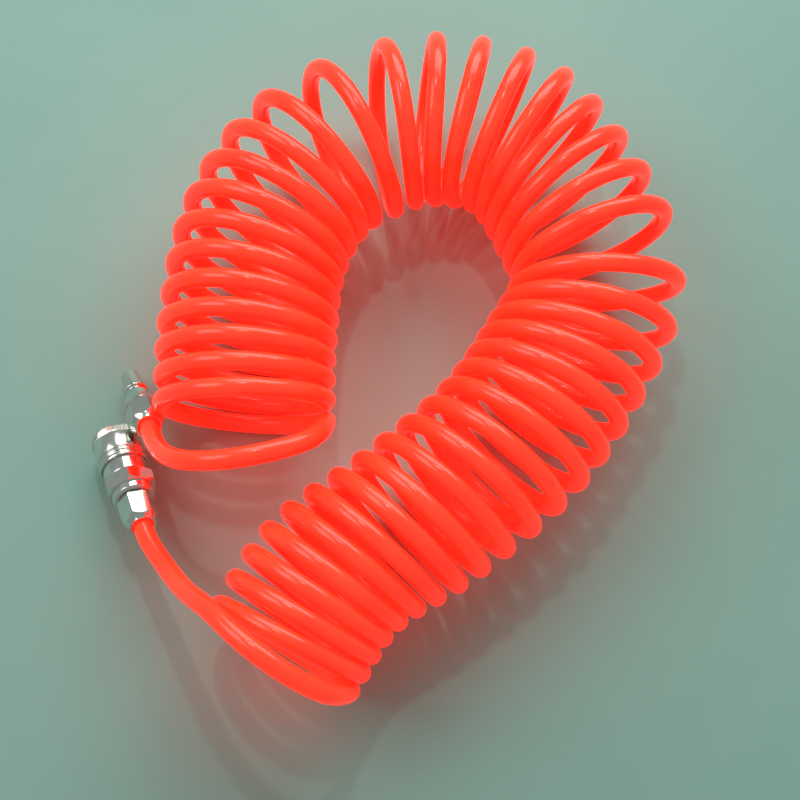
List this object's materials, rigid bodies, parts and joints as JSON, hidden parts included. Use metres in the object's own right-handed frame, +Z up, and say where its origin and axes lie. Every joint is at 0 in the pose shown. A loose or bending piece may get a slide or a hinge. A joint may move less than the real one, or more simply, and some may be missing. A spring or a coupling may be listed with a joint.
{
  "type": "coiled air hose",
  "caption": "Recoil air hose: a plastic coil laid in a horseshoe, with a quick-connect socket on one end and a plug on the other.",
  "frame": {"origin": "on the resting surface, under the middle of the whole object's bounding box", "axes": "+Z up, +Y towards the closed end of the horseshoe, +X to the right with the two hose ends nearest and the fittings on the left"},
  "size_m": [0.2864, 0.3946, 0.0952],
  "materials": {
    "hose": "gloss, fluorescent red-orange, slightly translucent polyurethane",
    "plated_brass": "bright nickel plating",
    "sleeve_plating": "bright nickel plating, knurled front rim",
    "spring_steel": "bright drawn wire",
    "seal_rubber": "matt black nitrile"
  },
  "bodies": {
    "root": {"hose_coil": "hose", "hose_tail_plug": "hose", "hose_tail_socket": "hose", "plug_body": "plated_brass", "plug_hose_nut": "plated_brass", "socket_body": "plated_brass", "socket_adapter": "plated_brass", "socket_hose_nut": "plated_brass", "sleeve_stop_ring": "spring_steel", "sleeve_spring": "spring_steel", "nose_packing": "seal_rubber", "valve_spring": "spring_steel", "valve_spring_seat": "plated_brass", "adapter_gasket": "seal_rubber"},
    "sleeve": {"socket_sleeve": "sleeve_plating"},
    "valve": {"valve_poppet": "plated_brass", "valve_seal": "seal_rubber"},
    "ball_1": {"lock_ball_1": "spring_steel"},
    "ball_2": {"lock_ball_2": "spring_steel"},
    "ball_3": {"lock_ball_3": "spring_steel"},
    "ball_4": {"lock_ball_4": "spring_steel"}
  },
  "joints": [
    {"name": "sleeve_pull", "type": "slide", "parent": "root", "child": "sleeve", "axis": [0.5318, -0.7885, 0.309], "range_m": [0, 0.0045], "stiffness_N_per_m": 900, "springref_m": -0.002, "deforming": ["sleeve_spring"]},
    {"name": "valve_push", "type": "slide", "parent": "root", "child": "valve", "axis": [0.5318, -0.7885, 0.309], "range_m": [0, 0.0044], "stiffness_N_per_m": 500, "springref_m": -0.002, "deforming": ["valve_spring"]},
    {"name": "ball_1_release", "type": "slide", "parent": "root", "child": "ball_1", "axis": [-0.1728, 0.2562, 0.9511], "range_m": [0, 0.0008]},
    {"name": "ball_2_release", "type": "slide", "parent": "root", "child": "ball_2", "axis": [-0.829, -0.5592, 0], "range_m": [0, 0.0008]},
    {"name": "ball_3_release", "type": "slide", "parent": "root", "child": "ball_3", "axis": [0.1728, -0.2562, -0.9511], "range_m": [0, 0.0008]},
    {"name": "ball_4_release", "type": "slide", "parent": "root", "child": "ball_4", "axis": [0.829, 0.5592, 0], "range_m": [0, 0.0008]}
  ],
  "couplings": [
    {"joint": "ball_1_release", "follows": "sleeve_pull", "ratio": 0.16},
    {"joint": "ball_2_release", "follows": "sleeve_pull", "ratio": 0.16},
    {"joint": "ball_3_release", "follows": "sleeve_pull", "ratio": 0.16},
    {"joint": "ball_4_release", "follows": "sleeve_pull", "ratio": 0.16}
  ]
}
